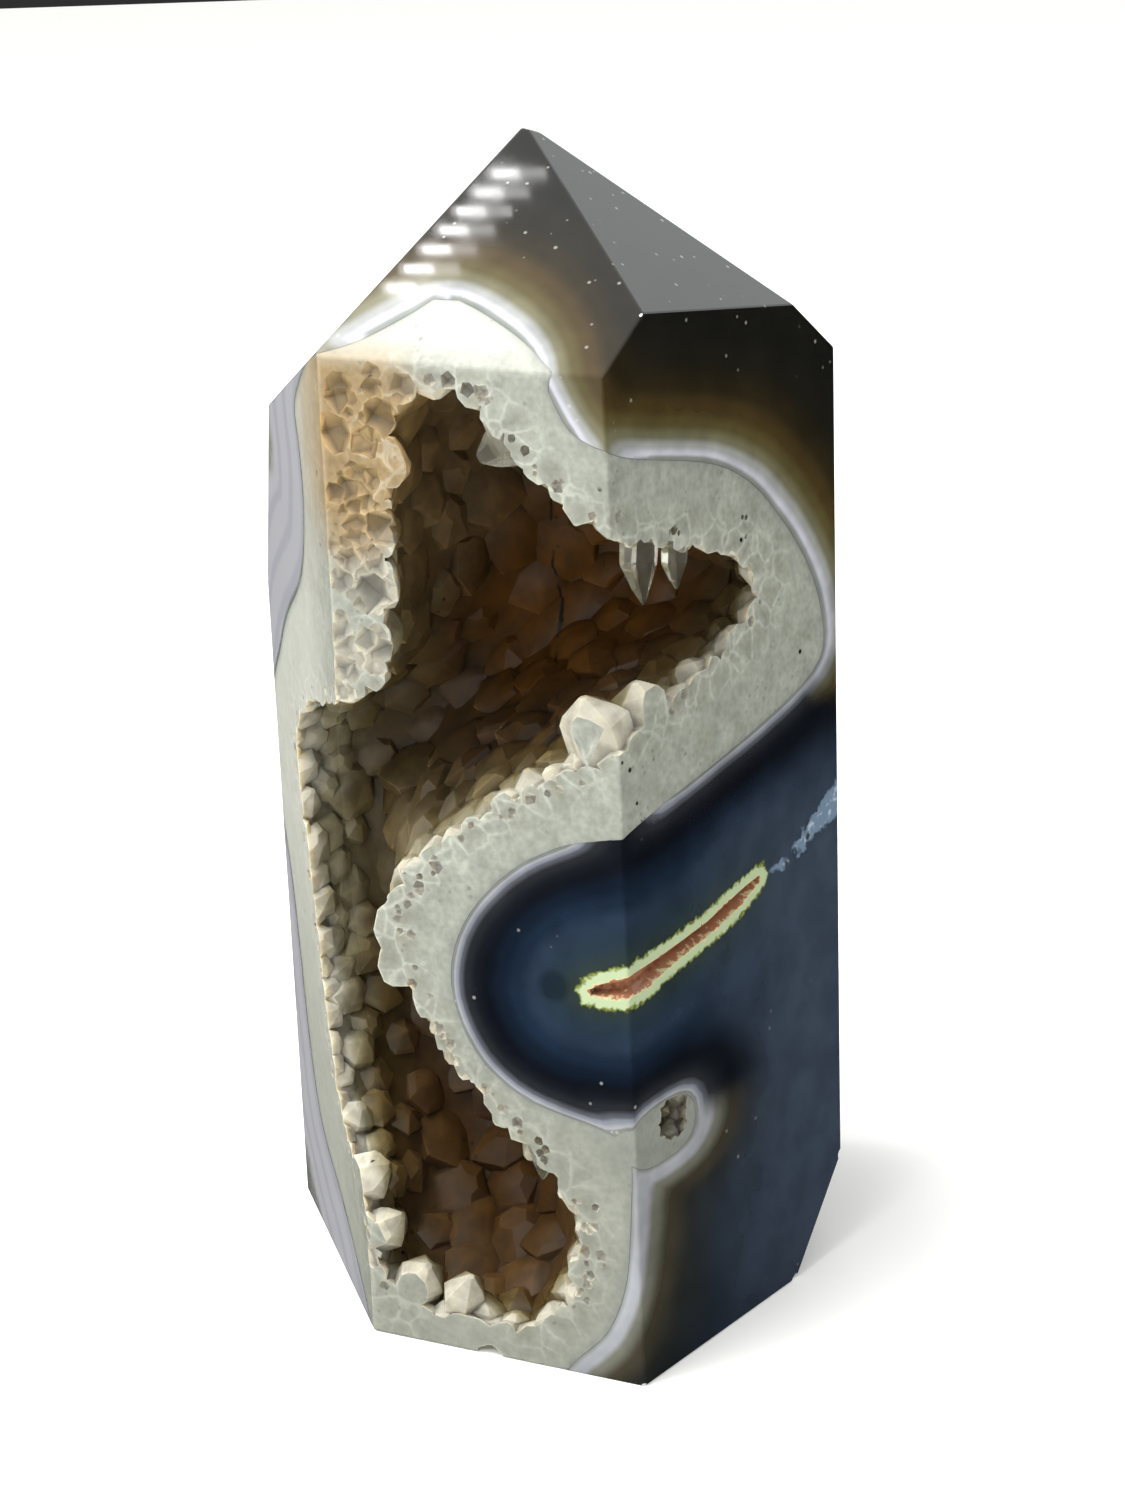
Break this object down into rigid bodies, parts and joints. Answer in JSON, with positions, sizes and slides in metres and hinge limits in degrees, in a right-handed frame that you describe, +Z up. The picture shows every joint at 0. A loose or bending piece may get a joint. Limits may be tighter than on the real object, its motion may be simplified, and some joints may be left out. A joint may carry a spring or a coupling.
{
  "type": "polished agate geode point",
  "caption": "Banded agate geode cut and polished as a faceted standing point, its tall hollow lined with quartz crystals and open through the front and left faces.",
  "frame": {"origin": "centre of the bounding box at the base, on the surface that the point stands on", "axes": "+Z up from the base to the point, -Y towards the front edge between the two front faces, -X towards the left face that the hollow also opens through"},
  "size_m": [0.0591, 0.066, 0.1199],
  "materials": {
    "agate": "polished",
    "quartz": "translucent, polished where cut"
  },
  "bodies": {
    "root": {"agate_tower": "agate", "hollow_crystals": "quartz"}
  },
  "joints": []
}
